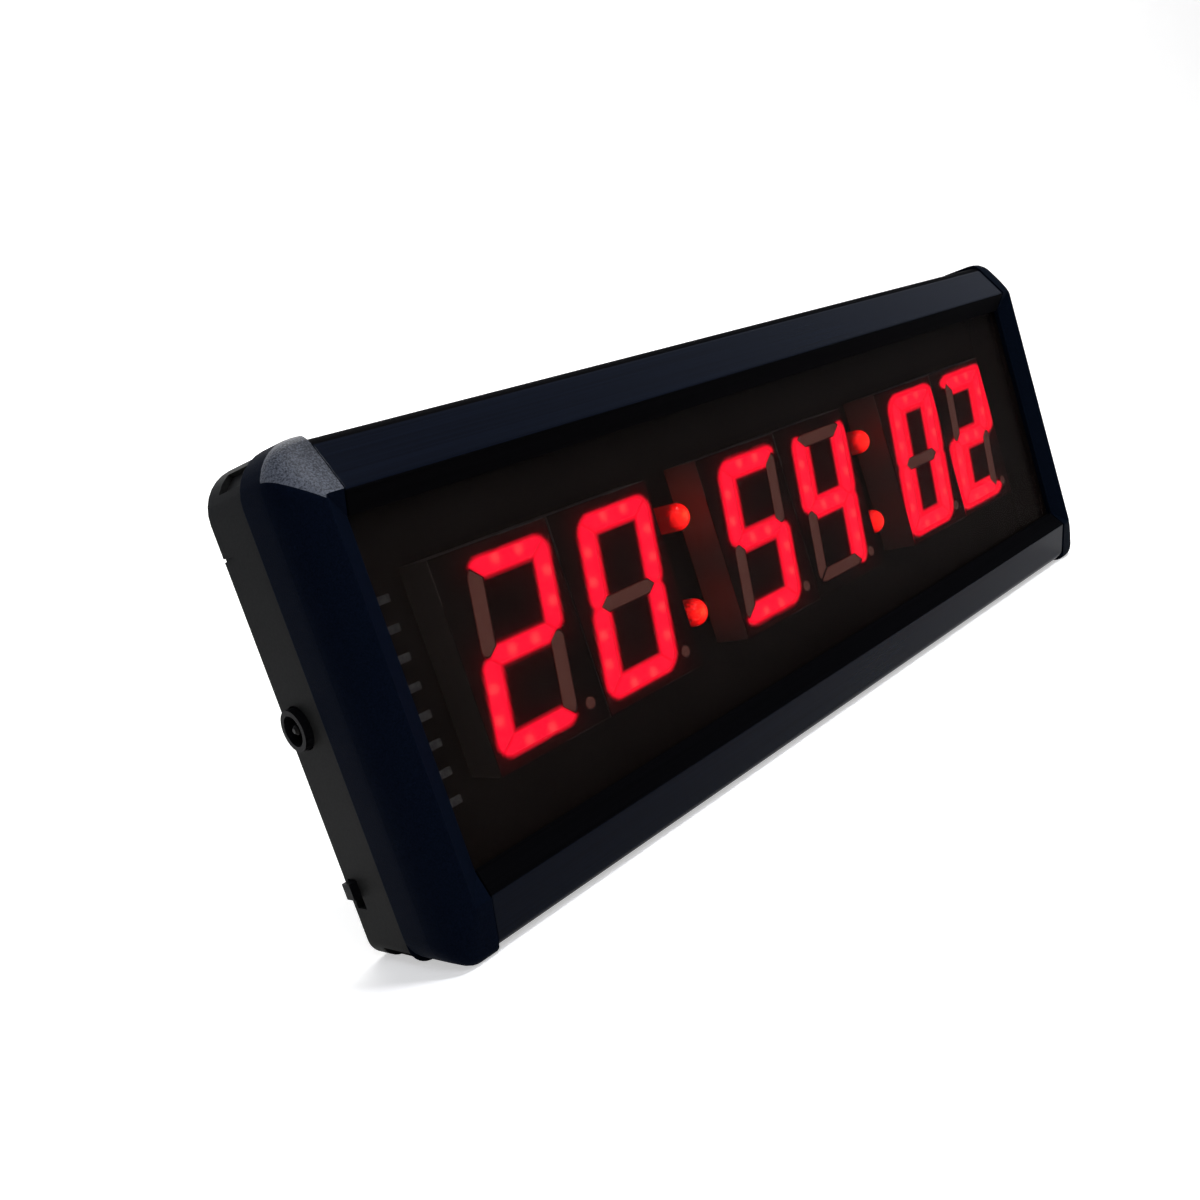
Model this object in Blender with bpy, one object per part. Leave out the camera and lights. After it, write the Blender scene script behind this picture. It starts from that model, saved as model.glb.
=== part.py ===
"""Six-digit LED countdown timer in an extruded case with moulded end caps.

The front looks along -Y, +Z is up, and the origin is on the ground under the
middle of the case. Run with blender --background --python part.py.
"""
import math

import bmesh
import bpy
from mathutils import Matrix, Vector

MM = 0.001

# Clearances
FIT = 0.3 * MM
SEGMENT_FIT = 0.2 * MM
PANE_FIT = 0.2 * MM

# Case, measured over the end caps
CASE_LENGTH = 267 * MM
CASE_HEIGHT = 99 * MM
CASE_DEPTH = 32.8 * MM
WALL = 1.8 * MM

# Rails of the extrusion, set in a little from the caps: a ridge, then a leaning outer face
# with a rounded edge, steeper along the bottom than along the top
RAIL_SET_BACK = 0.3 * MM
RAIL_SET_IN = 1 * MM
TOP_LEAN = math.radians(31)
TOP_CORNER = 4 * MM
BOTTOM_LEAN = math.radians(17)
BOTTOM_CORNER = 2.4 * MM
RAIL_REAR_CORNER = 3 * MM
RIDGE_LAND = 0.5 * MM
RIB = 1.2 * MM

# Window opening between the rails and the caps' bars, its bevel, and the pane behind
RAIL_HEIGHT = 14.9 * MM
CAP_BAR = 10.7 * MM
BEVEL_DEPTH = 2.8 * MM
BEVEL_RISE = 4.2 * MM
END_BEVEL_RISE = 3.8 * MM
RIM_LAND = 1.5 * MM
PANE_THICKNESS = 1.5 * MM
PANE_BITE = 1.7 * MM
END_PANE_BITE = 1.2 * MM

# End caps
CAP_TOP_CORNER = 9 * MM
CAP_BOTTOM_CORNER = 7 * MM
BAND_BOTTOM_CORNER = 4.4 * MM
CAP_RIDGE_CORNER = 1 * MM
CAP_SIDE_LEAN = math.radians(29)
CAP_SIDE_ROUND = 12.2 * MM
SEAM_OUT = 0.5 * MM
STEP_FROM_REAR = 15 * MM
STEP_HEIGHT = 0.4 * MM
STEP_ROUND = 0.8 * MM
CAP_WALL = 2 * MM
TONGUE_LENGTH = 8 * MM
TONGUE_WIDTH = 7 * MM
POCKET_LENGTH = 10 * MM
POCKET_WIDTH = 4.4 * MM
POCKET_DEPTH = 1.3 * MM
POCKET_FROM_REAR = 5 * MM
NOTCH_WIDTH = 0.6 * MM
NOTCH_LENGTH = 3.8 * MM
NOTCH_DEPTH = 0.4 * MM
NOTCH_FROM_TOP = 16.3 * MM

# Keyholes in the back wall
KEYHOLE_SPREAD = 160 * MM
KEYHOLE_FROM_TOP = 25 * MM
KEYHOLE_HEAD_R = 4.2 * MM
KEYHOLE_SLOT_R = 2.1 * MM
KEYHOLE_RISE = 8 * MM

# Digit modules: pairs of modules along the window
DIGIT_HEIGHT = 38.1 * MM
DIGIT_WIDTH = 21.4 * MM
STROKE = 4.1 * MM
SLANT = math.radians(10)
SEGMENT_GAP = 0.5 * MM
SEGMENT_CORNER = 1.8 * MM
POINT_R = 1.6 * MM
POINT_OUT = 11.2 * MM
MODULE_WIDTH = 30.2 * MM
MODULE_HEIGHT = 43.5 * MM
MODULE_DEPTH = 10.2 * MM
MODULE_WALL = 0.9 * MM
POTTING_DEPTH = 2 * MM
PAIR_PITCH = 78 * MM
PAIRS = 3

# Colon lamps
LAMP_R = 2.5 * MM
LAMP_FLANGE_R = 2.9 * MM
LAMP_FLANGE = 1 * MM
LAMP_LENGTH = 9 * MM
COLON_SPREAD = 22 * MM

# Display board and what it carries
BOARD_THICKNESS = 1.6 * MM
BOARD_BITE = 1.7 * MM
BOARD_END_GAP = 3.1 * MM
RESISTOR_SIZE = Vector((3.2, 0.6, 1.6)) * MM
RESISTOR_PITCH = 5.9 * MM
RESISTOR_COUNT = 8
RESISTOR_GAP = 4.1 * MM
RESISTOR_MIDDLE_DROP = 3.5 * MM
RECEIVER_SIZE = Vector((5.6, 4.6, 6.6)) * MM
RECEIVER_LENS_R = 1.9 * MM
RECEIVER_GAP = 2 * MM
RECEIVER_DROP = 20 * MM
CHIP_SIZE = Vector((18, 2.4, 7.5)) * MM
DRIVER_SPREAD = 104 * MM
CRYSTAL_SIZE = Vector((4.6, 3.4, 11)) * MM
CRYSTAL_GAP = 4 * MM
BUZZER_R = 6 * MM
BUZZER_HEIGHT = 7.5 * MM
BUZZER_PORT_R = 1 * MM
BUZZER_FROM_END = 36 * MM
REGULATOR_SIZE = Vector((6.6, 2.3, 9.5)) * MM
REGULATOR_FROM_END = 32 * MM
CAPACITOR_R = 4 * MM
CAPACITOR_HEIGHT = 8 * MM
CAPACITOR_FROM_END = 46 * MM

# Power inlet and slide switch in the left cap
JACK_FROM_REAR = 5.3 * MM
JACK_DROP = 0.5 * MM
JACK_NOSE_R = 4.2 * MM
JACK_NOSE_PROUD = 1.6 * MM
JACK_BORE_R = 3.1 * MM
JACK_BORE_DEPTH = 9.5 * MM
JACK_BODY_WIDTH = 9 * MM
JACK_BODY_LENGTH = 14 * MM
JACK_PIN_R = 1 * MM
JACK_PIN_LENGTH = 9 * MM
SWITCH_FROM_REAR = 2.9 * MM
SWITCH_DROP = 34.9 * MM
SLOT_HEIGHT = 6.3 * MM
SLOT_DEPTH_WISE = 3.4 * MM
SWITCH_TRAVEL = 2.4 * MM
SWITCH_BODY_HEIGHT = 9 * MM
SWITCH_BODY_LENGTH = 4.5 * MM
SWITCH_BODY_DEPTH = 5.4 * MM
KNOB_PROUD = 1.6 * MM

# Planes that several pieces share, front to back
CAP_FRONT = -CASE_DEPTH / 2
REAR = CASE_DEPTH / 2
RAIL_FRONT = CAP_FRONT + RAIL_SET_BACK
RIM = RAIL_FRONT + BEVEL_DEPTH
PANE_FRONT = RIM + RIM_LAND
PANE_REAR = PANE_FRONT + PANE_THICKNESS
FACE = PANE_REAR + 2 * PANE_FIT
BOARD_FRONT = FACE + MODULE_DEPTH + FIT
BOARD_REAR = BOARD_FRONT + BOARD_THICKNESS
BACK_INSIDE = REAR - WALL
STEP = REAR - STEP_FROM_REAR

# Heights and lengths that several pieces share
MIDDLE = CASE_HEIGHT / 2
RAIL_HALF = CASE_HEIGHT / 2 - RAIL_SET_IN
RAIL_INSIDE = RAIL_HALF - WALL
OPEN_HALF = RAIL_HALF - RAIL_HEIGHT
BEVEL_HALF = OPEN_HALF + BEVEL_RISE
RIDGE_HALF = BEVEL_HALF + RIDGE_LAND
END = CASE_LENGTH / 2
OPEN_END = END - CAP_BAR
SEAM = OPEN_END + SEAM_OUT
BOARD_HALF = RAIL_INSIDE - RIB - BOARD_BITE + FIT
BAND_SIDE = END - STEP_HEIGHT
CAP_INSIDE = BAND_SIDE - CAP_WALL
BOARD_END = CAP_INSIDE - BOARD_END_GAP
MODULE_PITCH = MODULE_WIDTH + FIT
REACH = 2 * CASE_HEIGHT


def clear_scene():
    for item in list(bpy.data.objects):
        bpy.data.objects.remove(item, do_unlink=True)


def material(name, colour, roughness, metallic=0.0, glow=0.0):
    made = bpy.data.materials.new(name)
    made.use_nodes = True
    shader = made.node_tree.nodes["Principled BSDF"]
    shader.inputs["Base Color"].default_value = (*colour, 1.0)
    shader.inputs["Roughness"].default_value = roughness
    shader.inputs["Metallic"].default_value = metallic
    shader.inputs["Emission Color"].default_value = (*colour, 1.0)
    shader.inputs["Emission Strength"].default_value = glow
    return made


def add_object(name, mesh, surface=None):
    item = bpy.data.objects.new(name, mesh)
    bpy.context.scene.collection.objects.link(item)
    if surface is not None:
        mesh.materials.append(surface)
    return item


def mesh_from(name, shape):
    bmesh.ops.recalc_face_normals(shape, faces=shape.faces)
    mesh = bpy.data.meshes.new(name)
    shape.to_mesh(mesh)
    shape.free()
    return mesh


def fillet(corners, steps=6):
    """Round the corners of a closed outline: each corner is (u, v) or (u, v, radius)."""
    points = []
    for index, corner in enumerate(corners):
        here = Vector(corner[:2])
        radius = corner[2] if len(corner) > 2 else 0
        if radius <= 0:
            points.append(here)
            continue
        before = (Vector(corners[index - 1][:2]) - here).normalized()
        after = (Vector(corners[(index + 1) % len(corners)][:2]) - here).normalized()
        half = before.angle(after) / 2
        centre = here + (before + after).normalized() * (radius / math.sin(half))
        start = here + before * (radius / math.tan(half)) - centre
        end = here + after * (radius / math.tan(half)) - centre
        sweep = start.angle_signed(end)
        for step in range(steps + 1):
            turn = Matrix.Rotation(-sweep * step / steps, 2)
            points.append(centre + turn @ start)
    return points


def place(plane, u, v, w):
    """Put a point of an outline in space: the plane's name gives its two axes."""
    return {"XZ": Vector((u, w, v)), "YZ": Vector((w, u, v)), "XY": Vector((u, v, w))}[plane]


def loft_mesh(name, rings):
    """A closed solid through rings of equally many points, with flat ends."""
    shape = bmesh.new()
    loops = [[shape.verts.new(point) for point in ring] for ring in rings]
    shape.faces.new(loops[0])
    shape.faces.new(loops[-1])
    for lower, upper in zip(loops, loops[1:]):
        for index in range(len(lower)):
            near = index - 1
            shape.faces.new((lower[near], lower[index], upper[index], upper[near]))
    return mesh_from(name, shape)


def prism(name, plane, outline, start, end, surface=None):
    rings = [[place(plane, u, v, w) for u, v in outline] for w in (start, end)]
    return add_object(name, loft_mesh(name, rings), surface)


def box(name, low, high, surface=None):
    corners = [(low[0], low[1]), (high[0], low[1]), (high[0], high[1]), (low[0], high[1])]
    return prism(name, "XY", corners, low[2], high[2], surface)


def box_about(name, centre, size, surface=None):
    half = Vector(size) / 2
    return box(name, Vector(centre) - half, Vector(centre) + half, surface)


def circle(centre, radius, sides):
    turns = [2 * math.pi * step / sides for step in range(sides)]
    return [
        (centre[0] + radius * math.cos(turn), centre[1] + radius * math.sin(turn)) for turn in turns
    ]


def turned(name, profile, sides, axis, surface=None):
    """Turn a profile of (radius, height) points, closed on the axis, about +Z, then lay
    that axis along the given direction."""
    shape = bmesh.new()
    line = [shape.verts.new((radius, 0, height)) for radius, height in profile]
    edges = [shape.edges.new(pair) for pair in zip(line, line[1:])]
    bmesh.ops.spin(
        shape, geom=line + edges, cent=(0, 0, 0), axis=(0, 0, 1), angle=2 * math.pi,
        steps=sides, use_merge=True,
    )
    bmesh.ops.remove_doubles(shape, verts=shape.verts, dist=0.001 * MM)
    turn = Vector((0, 0, 1)).rotation_difference(Vector(axis)).to_matrix().to_4x4()
    bmesh.ops.transform(shape, matrix=turn, verts=shape.verts)
    return add_object(name, mesh_from(name, shape), surface)


def smooth(item, angle=35):
    item.data.shade_smooth()
    item.data.set_sharp_from_angle(angle=math.radians(angle))


def combine(target, tool, operation):
    """Cut a piece with a tool, or join the tool to it."""
    tool.hide_render = True
    tool.display_type = "WIRE"
    step = target.modifiers.new(tool.name, "BOOLEAN")
    step.operation = operation
    step.solver = "EXACT"
    step.object = tool


def finished_mesh(item):
    """The mesh of a piece after its modifiers, for pieces that repeat."""
    graph = bpy.context.evaluated_depsgraph_get()
    return bpy.data.meshes.new_from_object(item.evaluated_get(graph))


def seam(side, shift):
    """Edge of all that lies inboard of the seam between extrusion and cap."""
    upper = [(OPEN_END, OPEN_HALF), (SEAM, BEVEL_HALF), (SEAM, REACH)]
    edge = [(x, -z) for x, z in reversed(upper)] + upper
    return [(side * (x + shift), MIDDLE + z) for x, z in edge]


def rail_outline():
    """Section of the extrusion: two bevelled rails, pane grooves, board grooves, back."""
    upper_outside, upper_inside = half_section(TOP_LEAN, TOP_CORNER)
    lower_outside, lower_inside = (
        [(y, -z, *radius) for y, z, *radius in reversed(half)]
        for half in half_section(BOTTOM_LEAN, BOTTOM_CORNER)
    )
    corners = upper_outside + lower_outside + lower_inside + upper_inside
    return fillet([(y, MIDDLE + z, *radius) for y, z, *radius in corners])


def half_section(lean, corner):
    """Outside and inside of the section of one rail, measured from the middle."""
    slot_front = PANE_FRONT - PANE_FIT
    slot_rear = PANE_REAR + PANE_FIT
    slot_floor = OPEN_HALF + PANE_BITE + FIT
    rib_edge = OPEN_HALF + RIB
    board_front = BOARD_FRONT - FIT
    board_rear = BOARD_REAR + FIT
    board_floor = BOARD_HALF + FIT
    board_lip = BOARD_HALF - BOARD_BITE
    inner_front = RAIL_FRONT + WALL
    face_end = RAIL_FRONT + (RAIL_HALF - RIDGE_HALF) * math.tan(lean)
    inner_end = face_end + WALL / math.cos(lean) - WALL * math.tan(lean)
    inner_start = RAIL_INSIDE - (inner_end - inner_front) / math.tan(lean)
    outside = [
        (RIM, OPEN_HALF), (RAIL_FRONT, BEVEL_HALF), (RAIL_FRONT, RIDGE_HALF),
        (face_end, RAIL_HALF, corner), (REAR, RAIL_HALF, RAIL_REAR_CORNER),
    ]
    inside = [
        (BACK_INSIDE, RAIL_INSIDE), (board_rear + RIB, RAIL_INSIDE), (board_rear + RIB, board_lip),
        (board_rear, board_lip), (board_rear, board_floor), (board_front, board_floor),
        (board_front, board_lip), (board_front - RIB, board_lip), (board_front - RIB, RAIL_INSIDE),
        (inner_end, RAIL_INSIDE, corner - WALL), (inner_front, inner_start),
        (inner_front, slot_floor + RIB), (slot_rear + RIB, slot_floor + RIB),
        (slot_rear + RIB, rib_edge), (slot_rear, rib_edge),
        (slot_rear, slot_floor), (slot_front, slot_floor), (slot_front, OPEN_HALF),
    ]
    return outside, inside


def make_extrusion(surface):
    body = prism("case_extrusion", "YZ", rail_outline(), -END, END, surface)
    for side in (-1, 1):
        edge = seam(side, -FIT)
        outboard = edge + [(side * REACH * 2, MIDDLE + REACH), (side * REACH * 2, MIDDLE - REACH)]
        combine(body, prism(f"end_cut_{side}", "XZ", outboard, -REACH, REACH), "DIFFERENCE")
    for side in (-1, 1):
        combine(body, keyhole(side), "DIFFERENCE")
    return body


def keyhole(side):
    """A round way in for a screw's head, and a slot above it for the shank."""
    x = side * KEYHOLE_SPREAD / 2
    z = CASE_HEIGHT - KEYHOLE_FROM_TOP
    neck = math.asin(KEYHOLE_SLOT_R / KEYHOLE_HEAD_R)
    outline = []
    for step in range(17):
        turn = math.pi / 2 + neck + (2 * math.pi - 2 * neck) * step / 16
        outline.append((x + KEYHOLE_HEAD_R * math.cos(turn), z + KEYHOLE_HEAD_R * math.sin(turn)))
    for step in range(7):
        turn = math.pi * step / 6
        across = x + KEYHOLE_SLOT_R * math.cos(turn)
        outline.append((across, z + KEYHOLE_RISE + KEYHOLE_SLOT_R * math.sin(turn)))
    return prism(f"keyhole_{side}", "XZ", outline, BACK_INSIDE - WALL, REAR + WALL)


class Edge:
    """A leaning face behind the ridge that a rounded edge ends, as one side of a cap has."""

    def __init__(self, drop, lean, radius):
        self.drop, self.lean, self.radius = drop, lean, radius
        round_start = (drop - radius * (1 - math.sin(lean))) * math.tan(lean)
        self.end = round_start + radius * math.cos(lean)

    def depths(self, steps):
        """Depths behind the ridge at which the rounded edge is divided."""
        turn = math.pi / 2 - self.lean
        return [self.end - self.radius * math.sin(turn * step / steps) for step in range(steps + 1)]

    def set_in(self, depth):
        if depth >= self.end:
            return 0
        if depth <= self.end - self.radius * math.cos(self.lean):
            return self.drop - depth / math.tan(self.lean)
        return self.radius - math.sqrt(self.radius ** 2 - (self.end - depth) ** 2)


def cap_ring(
    side, y, set_in, inboard, growth=1.0, side_face=END, top=CASE_HEIGHT, low_corner=CAP_BOTTOM_CORNER
):
    """Outline of a cap at one depth; its corners grow from the ridge to their full radius."""
    side_in, top_in, bottom_in = set_in
    ring = [Vector((side * inboard, y, bottom_in))]
    corners = ((low_corner, bottom_in, 1, -90), (CAP_TOP_CORNER, top - top_in, -1, 0))
    for corner, edge, inward, start in corners:
        radius = CAP_RIDGE_CORNER + (corner - CAP_RIDGE_CORNER) * growth
        for step in range(9):
            turn = math.radians(start) + math.pi / 2 * step / 8
            x = side_face - side_in - radius + radius * math.cos(turn)
            z = edge + inward * radius + radius * math.sin(turn)
            ring.append(Vector((side * x, y, z)))
    ring.append(Vector((side * inboard, y, top - top_in)))
    return ring


def cap_shell(name, side, surface):
    """Outer form of a cap: leaning faces behind a ridge, a step, a set-in rear band."""
    inboard = OPEN_END - TONGUE_LENGTH
    drop = CASE_HEIGHT - MIDDLE - RIDGE_HALF
    side_edge = Edge(CAP_SIDE_ROUND * (1 - math.sin(CAP_SIDE_LEAN)), CAP_SIDE_LEAN, CAP_SIDE_ROUND)
    top_edge = Edge(drop, TOP_LEAN, TOP_CORNER)
    bottom_edge = Edge(drop, BOTTOM_LEAN, BOTTOM_CORNER)
    depths = side_edge.depths(8)[:-1] + top_edge.depths(4) + bottom_edge.depths(3) + [0]
    rings = []
    for depth in sorted(depths):
        set_in = [edge.set_in(depth) for edge in (side_edge, top_edge, bottom_edge)]
        growth = math.sin(math.pi / 2 * min(depth / side_edge.end, 1))
        rings.append(cap_ring(side, CAP_FRONT + depth, set_in, inboard, growth))
    flush = (0, 0, 0)
    rings.append(cap_ring(side, STEP - STEP_ROUND, flush, inboard))
    band = {
        "side_face": BAND_SIDE, "top": CASE_HEIGHT - STEP_HEIGHT, "low_corner": BAND_BOTTOM_CORNER,
    }
    half_step = {"side_face": END - STEP_HEIGHT / 4, "top": CASE_HEIGHT - STEP_HEIGHT / 4}
    rings.append(cap_ring(side, STEP - STEP_ROUND / 3, flush, inboard, **half_step))
    rings.append(cap_ring(side, STEP, flush, inboard, **band))
    rings.append(cap_ring(side, REAR, flush, inboard, **band))
    return add_object(name, loft_mesh(name, rings), surface)


def cap_hollow(side):
    """The room inside a cap, behind its front bar, open towards the extrusion."""
    rings = []
    for y in (PANE_REAR + PANE_FIT + RIB, BACK_INSIDE):
        inner = {"side_face": CAP_INSIDE + CAP_WALL, "top": CASE_HEIGHT - STEP_HEIGHT}
        rings.append(cap_ring(side, y, (CAP_WALL, CAP_WALL, CAP_WALL), 0, **inner))
    return add_object(f"cap_hollow_{side}", loft_mesh(f"cap_hollow_{side}", rings))


def window_bevel():
    """The window's bevel as one tapering block, so that rails and bars meet in a mitre."""
    over = 1.5
    front = RIM - BEVEL_DEPTH * over
    rings = []
    for y, share in ((front, over), (RIM, 0)):
        x = OPEN_END + END_BEVEL_RISE * share
        z = OPEN_HALF + BEVEL_RISE * share
        corners = ((-x, -z), (x, -z), (x, z), (-x, z))
        rings.append([Vector((u, y, MIDDLE + v)) for u, v in corners])
    return add_object("window_bevel", loft_mesh("window_bevel", rings))


def pane_groove():
    low = (-OPEN_END - END_PANE_BITE - FIT, PANE_FRONT - PANE_FIT, MIDDLE - OPEN_HALF - PANE_BITE - FIT)
    high = (-low[0], PANE_REAR + PANE_FIT, 2 * MIDDLE - low[2])
    return box("pane_groove", low, high)


def corner_pocket(side, corner, edge, inward):
    """A pocket across a cap's rounded rear corner, its floor at 45 degrees."""
    block = box_about(
        f"corner_pocket_{side}_{inward}", (0, 0, 0), (2 * POCKET_DEPTH, POCKET_LENGTH, POCKET_WIDTH)
    )
    reach = corner / math.sqrt(2)
    x = side * (BAND_SIDE - corner + reach)
    z = edge + inward * (corner - reach)
    y = REAR - POCKET_FROM_REAR - POCKET_LENGTH / 2
    block.matrix_world = Matrix.Translation((x, y, z)) @ Matrix.Rotation(
        math.radians(45) * inward * side, 4, "Y"
    )
    return block


def tongue(side, end):
    """A tongue that reaches inside the extrusion, and the web that ties it to the cap."""
    thick = CAP_WALL - 2 * FIT
    outer = RAIL_INSIDE - FIT
    web_x = SEAM + 0.5 * FIT
    front = PANE_REAR + PANE_FIT + RIB + FIT
    corners = [
        (OPEN_END - TONGUE_LENGTH, outer - thick), (web_x + CAP_WALL, outer - thick),
        (web_x + CAP_WALL, RAIL_HALF), (web_x, RAIL_HALF), (web_x, outer),
        (OPEN_END - TONGUE_LENGTH, outer),
    ]
    outline = [(side * x, MIDDLE + end * z) for x, z in corners]
    width = min(TONGUE_WIDTH, BOARD_FRONT - FIT - RIB - FIT - front)
    return prism(f"tongue_{side}_{end}", "XZ", outline, front, front + width)


def make_cap(name, side, surface):
    cap = cap_shell(name, side, surface)
    inboard = seam(side, 0) + [(-side * OPEN_END, MIDDLE + REACH), (-side * OPEN_END, MIDDLE - REACH)]
    combine(cap, cap_hollow(side), "DIFFERENCE")
    combine(cap, prism(f"seam_cut_{side}", "XZ", inboard, -REACH, REACH), "DIFFERENCE")
    combine(cap, bpy.data.objects["window_bevel"], "DIFFERENCE")
    combine(cap, bpy.data.objects["pane_groove"], "DIFFERENCE")
    top = corner_pocket(side, CAP_TOP_CORNER, CASE_HEIGHT - STEP_HEIGHT, -1)
    combine(cap, top, "DIFFERENCE")
    combine(cap, corner_pocket(side, BAND_BOTTOM_CORNER, 0, 1), "DIFFERENCE")
    notch_z = CASE_HEIGHT - NOTCH_FROM_TOP
    notch = box_about(
        f"rear_notch_{side}", (side * BAND_SIDE, REAR, notch_z),
        (2 * NOTCH_DEPTH, 2 * NOTCH_LENGTH, NOTCH_WIDTH),
    )
    combine(cap, notch, "DIFFERENCE")
    for end in (-1, 1):
        combine(cap, tongue(side, end), "UNION")
    return cap


def make_left_cap(surface):
    cap = make_cap("left_end_cap", -1, surface)
    hole = circle((REAR - JACK_FROM_REAR, MIDDLE - JACK_DROP), JACK_NOSE_R + FIT, 28)
    outside = -END - CAP_WALL
    inside = -CAP_INSIDE + 3 * FIT
    combine(cap, prism("jack_hole", "YZ", hole, outside, inside), "DIFFERENCE")
    slot = box_about(
        "switch_slot", (-BAND_SIDE, REAR - SWITCH_FROM_REAR, MIDDLE - SWITCH_DROP),
        (4 * CAP_WALL, SLOT_DEPTH_WISE, SLOT_HEIGHT),
    )
    combine(cap, slot, "DIFFERENCE")


def make_pane(surface):
    high = (OPEN_END + END_PANE_BITE, PANE_REAR, OPEN_HALF + PANE_BITE)
    low = (-high[0], PANE_FRONT, MIDDLE - high[2])
    box("window_pane", low, (high[0], high[1], MIDDLE + high[2]), surface)


def sheared(points):
    """Lean an outline of a digit by its slant."""
    return [(x + z * math.tan(SLANT), z) for x, z in points]


def segment_outlines(grow=0.0):
    """The seven segments of a digit and its point, about the digit's middle."""
    wide = DIGIT_WIDTH / 2 + grow
    tall = DIGIT_HEIGHT / 2 + grow
    inner_x = DIGIT_WIDTH / 2 - STROKE - grow
    inner_z = DIGIT_HEIGHT / 2 - STROKE - grow
    half = STROKE / 2 + grow
    gap = SEGMENT_GAP - grow
    middle_x = (DIGIT_WIDTH - STROKE) / 2
    bar = [
        (-wide + gap + SEGMENT_CORNER, tall), (wide - gap - SEGMENT_CORNER, tall),
        (wide - gap - SEGMENT_CORNER / 2, tall - SEGMENT_CORNER / 3), (inner_x - gap, inner_z),
        (-inner_x + gap, inner_z), (-wide + gap + SEGMENT_CORNER / 2, tall - SEGMENT_CORNER / 3),
    ]
    upright = [
        (wide, tall - SEGMENT_CORNER - gap), (wide - SEGMENT_CORNER / 3, tall - SEGMENT_CORNER / 2 - gap),
        (inner_x, inner_z - gap), (inner_x, half + gap), (middle_x, gap), (wide, gap),
    ]
    middle = [
        (-middle_x + gap, 0), (-inner_x + gap, half), (inner_x - gap, half),
        (middle_x - gap, 0), (inner_x - gap, -half), (-inner_x + gap, -half),
    ]
    shapes = [bar, middle, [(x, -z) for x, z in bar]]
    for across in (-1, 1):
        for up in (-1, 1):
            shapes.append([(across * x, up * z) for x, z in upright])
    point_z = -(DIGIT_HEIGHT - STROKE) / 2
    return [sheared(shape) for shape in shapes] + [circle((POINT_OUT, point_z), POINT_R + grow, 12)]


def joined_prisms(name, outlines, start, end):
    """Several separate prisms along Y in one mesh."""
    shape = bmesh.new()
    for outline in outlines:
        loops = [[shape.verts.new((x, y, z)) for x, z in outline] for y in (start, end)]
        shape.faces.new(loops[0])
        shape.faces.new(loops[1])
        for index in range(len(outline)):
            pair = (index - 1, index)
            shape.faces.new([loops[0][pair[0]], loops[0][pair[1]], loops[1][pair[1]], loops[1][pair[0]]])
    return add_object(name, mesh_from(name, shape))


def module_master(surface):
    """Black-faced housing of a digit: segment windows in front, potting well behind."""
    half = Vector((MODULE_WIDTH / 2, 0, MODULE_HEIGHT / 2))
    body = box("module_master", -half, half + Vector((0, MODULE_DEPTH, 0)), surface)
    windows = joined_prisms("segment_windows", segment_outlines(SEGMENT_FIT), -MM, MODULE_DEPTH)
    inset = Vector((MODULE_WALL, 0, MODULE_WALL))
    well = box(
        "potting_well", Vector((0, MODULE_DEPTH - POTTING_DEPTH, 0)) - half + inset,
        half - inset + Vector((0, MODULE_DEPTH + MM, 0)),
    )
    combine(body, windows, "DIFFERENCE")
    combine(body, well, "DIFFERENCE")
    return body


def light_master(surface):
    """Potting of a digit: a plate behind, with a bar up to each segment's window."""
    inset = MODULE_WALL + SEGMENT_FIT
    half = Vector((MODULE_WIDTH / 2 - inset, 0, MODULE_HEIGHT / 2 - inset))
    floor = MODULE_DEPTH - POTTING_DEPTH + SEGMENT_FIT
    plate = box("light_master", Vector((0, floor, 0)) - half, half + Vector((0, MODULE_DEPTH, 0)), surface)
    bars = joined_prisms("segment_bars", segment_outlines(), SEGMENT_FIT, floor + POTTING_DEPTH / 3)
    combine(plate, bars, "UNION")
    return plate


def make_digits(housing_surface, light_surface):
    masters = (
        ("digit_module", module_master(housing_surface)), ("digit_light", light_master(light_surface)),
    )
    for name, master in masters:
        mesh = finished_mesh(master)
        for number in range(2 * PAIRS):
            item = bpy.data.objects.new(f"{name}_{number + 1}", mesh)
            item.location = (digit_x(number), FACE, MIDDLE)
            bpy.context.scene.collection.objects.link(item)
        bpy.data.objects.remove(master, do_unlink=True)


def digit_x(number):
    pair, place_in_pair = divmod(number, 2)
    return (pair - (PAIRS - 1) / 2) * PAIR_PITCH + (place_in_pair - 0.5) * MODULE_PITCH


def make_colons(surface):
    """Four domed lamps, two in each gap between pairs, leaning with the digits."""
    straight = LAMP_LENGTH - LAMP_R
    profile = [(0, 0), (LAMP_FLANGE_R, 0), (LAMP_FLANGE_R, LAMP_FLANGE), (LAMP_R, LAMP_FLANGE)]
    for step in range(5):
        turn = math.radians(90 * step / 4)
        profile.append((LAMP_R * math.cos(turn) * (step < 4), straight + LAMP_R * math.sin(turn)))
    for gap, word in ((-0.5, "left"), (0.5, "right")):
        for up, level in ((1, "upper"), (-1, "lower")):
            lamp = turned(f"colon_lamp_{word}_{level}", profile, 16, (0, -1, 0), surface)
            z = up * COLON_SPREAD / 2
            lamp.location = (gap * PAIR_PITCH + z * math.tan(SLANT), BOARD_FRONT - FIT, MIDDLE + z)
            smooth(lamp)


def make_board(surface):
    low = (-BOARD_END, BOARD_FRONT, MIDDLE - BOARD_HALF)
    box("display_board", low, (BOARD_END, BOARD_REAR, MIDDLE + BOARD_HALF), surface)


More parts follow.
